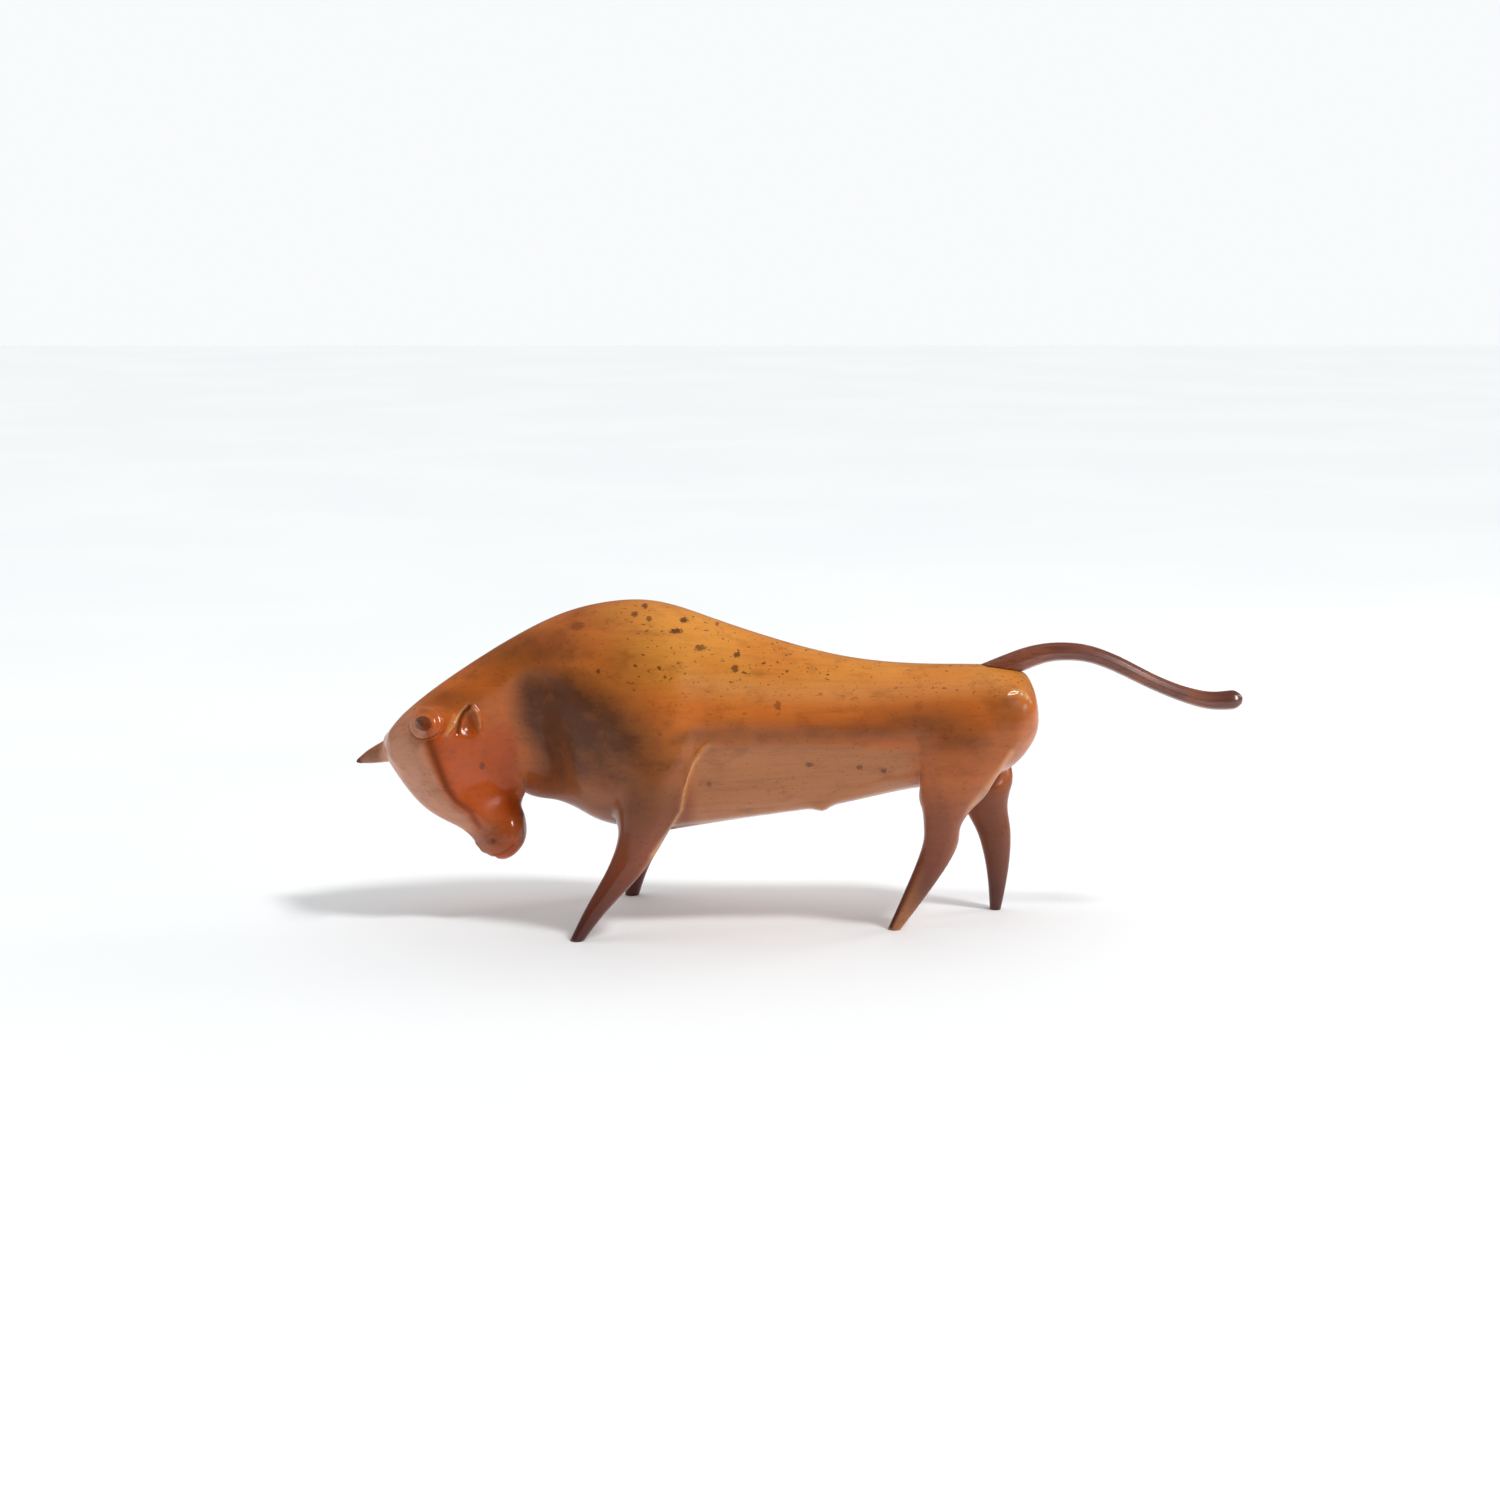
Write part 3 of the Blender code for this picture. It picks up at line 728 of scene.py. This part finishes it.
def body_wood(bull):
    wood = Finish("polished golden brown wood")
    find = surface_finder(bull)
    height = wood.axis("Z")
    cloudy = wood.noise((14, 14, 22), 3.0, 3.0)
    mottled = wood.noise((70, 90, 110), 4.0, 19.0, 0.65)
    streaks = wood.noise((24, 200, 330), 3.0, 7.0)
    fibres = wood.noise((120, 1400, 2000), 2.0, 11.0)
    pores = wood.noise((260, 1100, 1300), 2.0, 17.0)
    specks = wood.noise((380, 520, 620), 2.0, 23.0)
    ragged = wood.math("SUBTRACT", wood.noise((700, 700, 900), 3.0, 29.0, 0.7), 0.5)
    ragged = wood.math("MULTIPLY", ragged, 2.6)

    gold = wood.tone("gold")
    shade = wood.tone("shade")
    colour = wood.mix(wood.span(cloudy, 0.36, 0.64), BROWN, BROWN_CLOUD)
    # Painted light from above, golden on the top of the body
    golden = wood.mix(wood.span(cloudy, 0.36, 0.64), GOLD, GOLD_CLOUD)
    colour = wood.mix(gold, colour, golden)
    colour = wood.mix(wood.tone("cheek"), colour, CHEEK_RED)
    legs = wood.mix(wood.span(height, 0.062, 0.0), LEG_TOP, LEG_FOOT)
    colour = wood.mix(wood.tone("leg"), colour, legs)
    # Painted reflection of the pale floor on the lower flank and the breast
    colour = wood.mix(wood.math("MULTIPLY", wood.tone("pale"), 0.9), colour, BELLY)
    # Painted shade, mottled, greyer low down and warmer high up
    varied = wood.math("MULTIPLY", wood.math("SUBTRACT", mottled, 0.5), 0.6)
    shaded = wood.math("ADD", shade, wood.math("MULTIPLY", varied, shade), clamp=True)
    brown = wood.mix(wood.span(height, 0.11, 0.15), DARK_LOW, DARK_HIGH)
    dark = wood.mix(wood.span(shaded, 0.6, 1.0, 0.0, 0.4), brown, DARKEST)
    colour = wood.mix(wood.math("MULTIPLY", shaded, 1.15, clamp=True), colour, dark)
    # Painted reflection of the pale floor on the forehead and poll, and the greyer nose
    colour = wood.mix(wood.math("MULTIPLY", wood.tone("grey"), 0.85), colour, FACE_GREY)
    # Painted highlights and painted sheen
    colour = wood.mix(wood.tone("painted_highlight"), colour, PAINTED_HIGHLIGHT)
    # Painted shade in the carved lines and hollows, and the horns' dark tips
    colour = wood.mix(wood.math("MULTIPLY", wood.tone("line"), 0.85), colour, CARVED_LINE)
    colour = wood.mix(wood.span(mottled, 0.5, 0.72, 0.0, 0.3), colour, MOTTLE)
    colour = wood.mix(wood.span(streaks, 0.45, 0.75, 0.0, 0.16), colour, STREAK)
    colour = wood.mix(wood.span(fibres, 0.5, 0.85, 0.0, 0.14), colour, FIBRE)
    pitted = wood.math("MULTIPLY", wood.span(pores, 0.7, 0.75), 0.4)
    colour = wood.mix(pitted, colour, PORE)
    speckled = wood.math("MULTIPLY", wood.span(specks, 0.64, 0.7), wood.span(gold, 0.0, 1.0, 0.3, 0.75))
    colour = wood.mix(speckled, colour, SPECK)
    marked = 0.0
    for across, down, wide, high, dark in MARKS:
        centre = find(across, down)
        if centre is None:
            continue
        radii = (MARK_SIZE * wide * MM, MARK_DEPTH, MARK_SIZE * high * MM)
        spot = wood.spot(tuple(centre), radii, ragged)
        marked = wood.math("MAXIMUM", wood.math("MULTIPLY", spot, dark), marked)
    colour = wood.mix(marked, colour, MARK)
    wood.put(wood.shader.inputs["Base Color"], colour)

    gloss = wood.span(cloudy, 0.3, 0.7, 0.32, 0.42)
    gloss = wood.math("ADD", gloss, wood.math("MULTIPLY", marked, 0.25))
    wood.put(wood.shader.inputs["Roughness"], gloss)
    wood.shader.inputs["Specular IOR Level"].default_value = 0.07
    wood.put(wood.shader.inputs["Coat Weight"], wood.span(wood.tone("dull"), 0.0, 1.0, 0.65, 0.05))
    wood.shader.inputs["Coat Roughness"].default_value = 0.16
    relief = wood.math("MULTIPLY", fibres, 0.2)
    relief = wood.math("SUBTRACT", relief, pitted)
    relief = wood.math("SUBTRACT", relief, wood.math("MULTIPLY", marked, 1.6))
    relief = wood.math("ADD", relief, wood.math("MULTIPLY", wood.noise((60, 90, 90), 2.0, 31.0), 0.9))
    bump = wood.new("ShaderNodeBump")
    bump.inputs["Strength"].default_value = 0.5
    bump.inputs["Distance"].default_value = 0.0002
    wood.put(bump.inputs["Height"], relief)
    wood.put(wood.shader.inputs["Normal"], bump.outputs["Normal"])
    return wood.material


def tail_wood():
    wood = Finish("polished dark red wood")
    streaks = wood.noise((60, 700, 700), 3.0, 41.0)
    pores = wood.noise((380, 1700, 1700), 2.0, 43.0)
    cloudy = wood.noise((40, 60, 60), 2.0, 47.0)
    colour = wood.mix(wood.span(cloudy, 0.35, 0.65), TAIL_BROWN, TAIL_CLOUD)
    colour = wood.mix(wood.span(streaks, 0.42, 0.72, 0.0, 0.5), colour, TAIL_STREAK)
    pitted = wood.span(pores, 0.66, 0.72)
    colour = wood.mix(wood.math("MULTIPLY", pitted, 0.6), colour, TAIL_PORE)
    tip = wood.span(wood.axis("X"), 0.215, 0.245)
    colour = wood.mix(wood.math("MULTIPLY", tip, 0.45), colour, TAIL_TIP)
    wood.put(wood.shader.inputs["Base Color"], colour)
    wood.put(wood.shader.inputs["Roughness"], wood.math("ADD", wood.math("MULTIPLY", streaks, 0.2), 0.24))
    wood.shader.inputs["Coat Weight"].default_value = 0.3
    wood.shader.inputs["Coat Roughness"].default_value = 0.18
    bump = wood.new("ShaderNodeBump")
    bump.inputs["Strength"].default_value = 0.5
    bump.inputs["Distance"].default_value = 0.0002
    wood.put(bump.inputs["Height"], wood.math("SUBTRACT", wood.math("MULTIPLY", streaks, 0.5), pitted))
    wood.put(wood.shader.inputs["Normal"], bump.outputs["Normal"])
    return wood.material


def make_floor():
    mesh = bpy.data.meshes.new("floor")
    half = 6.0
    corners = [(-half, -half, 0), (half, -half, 0), (half, half, 0), (-half, half, 0)]
    mesh.from_pydata(corners, [], [(0, 1, 2, 3)])
    floor = bpy.data.objects.new("floor", mesh)
    bpy.context.scene.collection.objects.link(floor)
    finish = Finish("pale floor")
    patchy = finish.noise((3, 3, 3), 3.0, 5.0)
    finish.put(
        finish.shader.inputs["Base Color"],
        finish.mix(finish.span(patchy, 0.3, 0.7), linear(252, 253, 253), linear(249, 251, 252)),
    )
    finish.shader.inputs["Roughness"].default_value = 0.6
    floor.data.materials.append(finish.material)


def lamp(name, kind, from_where, power):
    data = bpy.data.lights.new(name, kind)
    data.energy = power
    made = bpy.data.objects.new(name, data)
    made.location = LAMP_TARGET + from_where.normalized() * LAMP_DISTANCE
    made.rotation_euler = (LAMP_TARGET - made.location).to_track_quat("-Z", "Y").to_euler()
    bpy.context.scene.collection.objects.link(made)
    return made


def make_light():
    """Soft light from above, two lamps for the glints, and pale surroundings that are dark in front."""
    sun = lamp("high lamp", "SUN", SUN_FROM, SUN_POWER)
    sun.data.angle = SUN_SOFTNESS
    sun.visible_glossy = False
    for name, from_where, power, size in (
        ("glint lamp", GLINT_FROM, GLINT_POWER, GLINT_SIZE),
        ("rim lamp", RIM_FROM, RIM_POWER, RIM_SIZE),
    ):
        made = lamp(name, "AREA", from_where, power)
        made.visible_diffuse = name != "glint lamp"
        made.data.shape = "DISK"
        made.data.size = size
    world = bpy.data.worlds.new("studio")
    bpy.context.scene.world = world
    world.use_nodes = True
    tree = world.node_tree
    sky = tree.nodes["Background"]
    where = tree.nodes.new("ShaderNodeTexCoord")
    front = tree.nodes.new("ShaderNodeVectorMath")
    front.operation = "DOT_PRODUCT"
    tree.links.new(where.outputs["Generated"], front.inputs[0])
    front.inputs[1].default_value = (0.0, -1.0, 0.0)
    shade = tree.nodes.new("ShaderNodeMapRange")
    shade.interpolation_type = "SMOOTHSTEP"
    ends = (*ROOM_EDGE, SKY, ROOM)
    for name, number in zip(("From Min", "From Max", "To Min", "To Max"), ends):
        shade.inputs[name].default_value = number
    tree.links.new(front.outputs["Value"], shade.inputs["Value"])
    seen = tree.nodes.new("ShaderNodeLightPath")
    dim = tree.nodes.new("ShaderNodeMapRange")
    dim.inputs["To Min"].default_value = 1.0
    dim.inputs["To Max"].default_value = SKY_IN_GLOSS
    tree.links.new(seen.outputs["Is Glossy Ray"], dim.inputs["Value"])
    glow = tree.nodes.new("ShaderNodeMath")
    glow.operation = "MULTIPLY"
    tree.links.new(shade.outputs["Result"], glow.inputs[0])
    tree.links.new(dim.outputs["Result"], glow.inputs[1])
    pick = tree.nodes.new("ShaderNodeMix")
    pick.data_type = "FLOAT"
    tree.links.new(seen.outputs["Is Camera Ray"], pick.inputs["Factor"])
    tree.links.new(glow.outputs[0], pick.inputs[2])
    pick.inputs[3].default_value = BACKGROUND
    tree.links.new(pick.outputs[0], sky.inputs["Strength"])
    sky.inputs["Color"].default_value = SKY_COLOUR


bull = carve_bull()
bull.data.materials.append(body_wood(bull))
tail = fine_copy("tail", "carved_tail")
tail.data.materials.append(tail_wood())
for piece, node, slot in ((bull, "bull", "golden_brown_wood"), (tail, "tail", "dark_red_wood")):
    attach(piece, "root")
    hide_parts(node)
make_floor()
make_light()
bpy.context.scene.view_settings.view_transform = "Standard"
